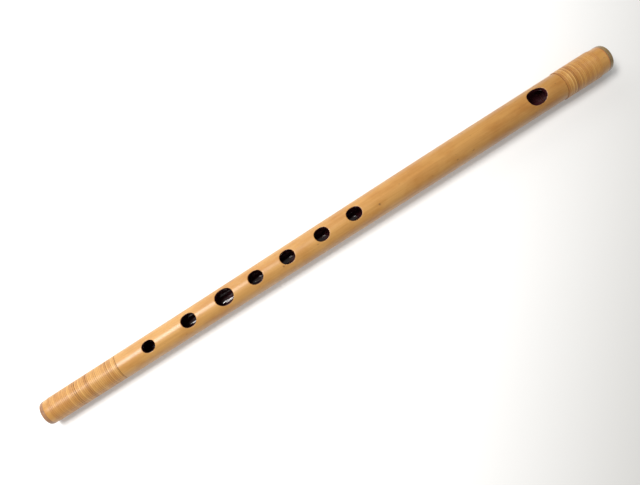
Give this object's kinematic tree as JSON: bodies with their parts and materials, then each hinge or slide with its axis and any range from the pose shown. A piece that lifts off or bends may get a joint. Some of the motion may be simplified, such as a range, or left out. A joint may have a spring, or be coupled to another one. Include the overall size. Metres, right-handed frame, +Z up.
{
  "type": "shinobue",
  "caption": "Transverse bamboo flute with an oval mouth hole, oval finger holes, rattan bindings at both ends and a lacquered bore.",
  "frame": {"origin": "on the surface that the flute lies on, under the middle of its length and width", "axes": "+X along the flute towards the head end, +Z up out of the holes, +Y across the flute away from the player's lower lip side"},
  "size_m": [0.4, 0.0186, 0.0186],
  "materials": {
    "bamboo": "smoked bamboo skin, satin, with fine fibres along the tube",
    "rattan": "split rattan, satin, light and dark turns",
    "bore_lacquer": "very dark red lacquer, glossy",
    "head_rim_lacquer": "olive brown lacquer, half gloss",
    "foot_rim_lacquer": "red brown lacquer, half gloss",
    "plug_wood": "turned wood, end grain",
    "stopper_wax": "poured wax, dull"
  },
  "bodies": {
    "root": {"bamboo_tube": "bamboo", "bore_lacquer": "bore_lacquer", "head_binding": "rattan", "foot_binding": "rattan", "head_rim": "head_rim_lacquer", "foot_rim": "foot_rim_lacquer", "head_plug": "plug_wood", "stopper_core": "plug_wood", "stopper_wax": "stopper_wax"}
  },
  "joints": []
}
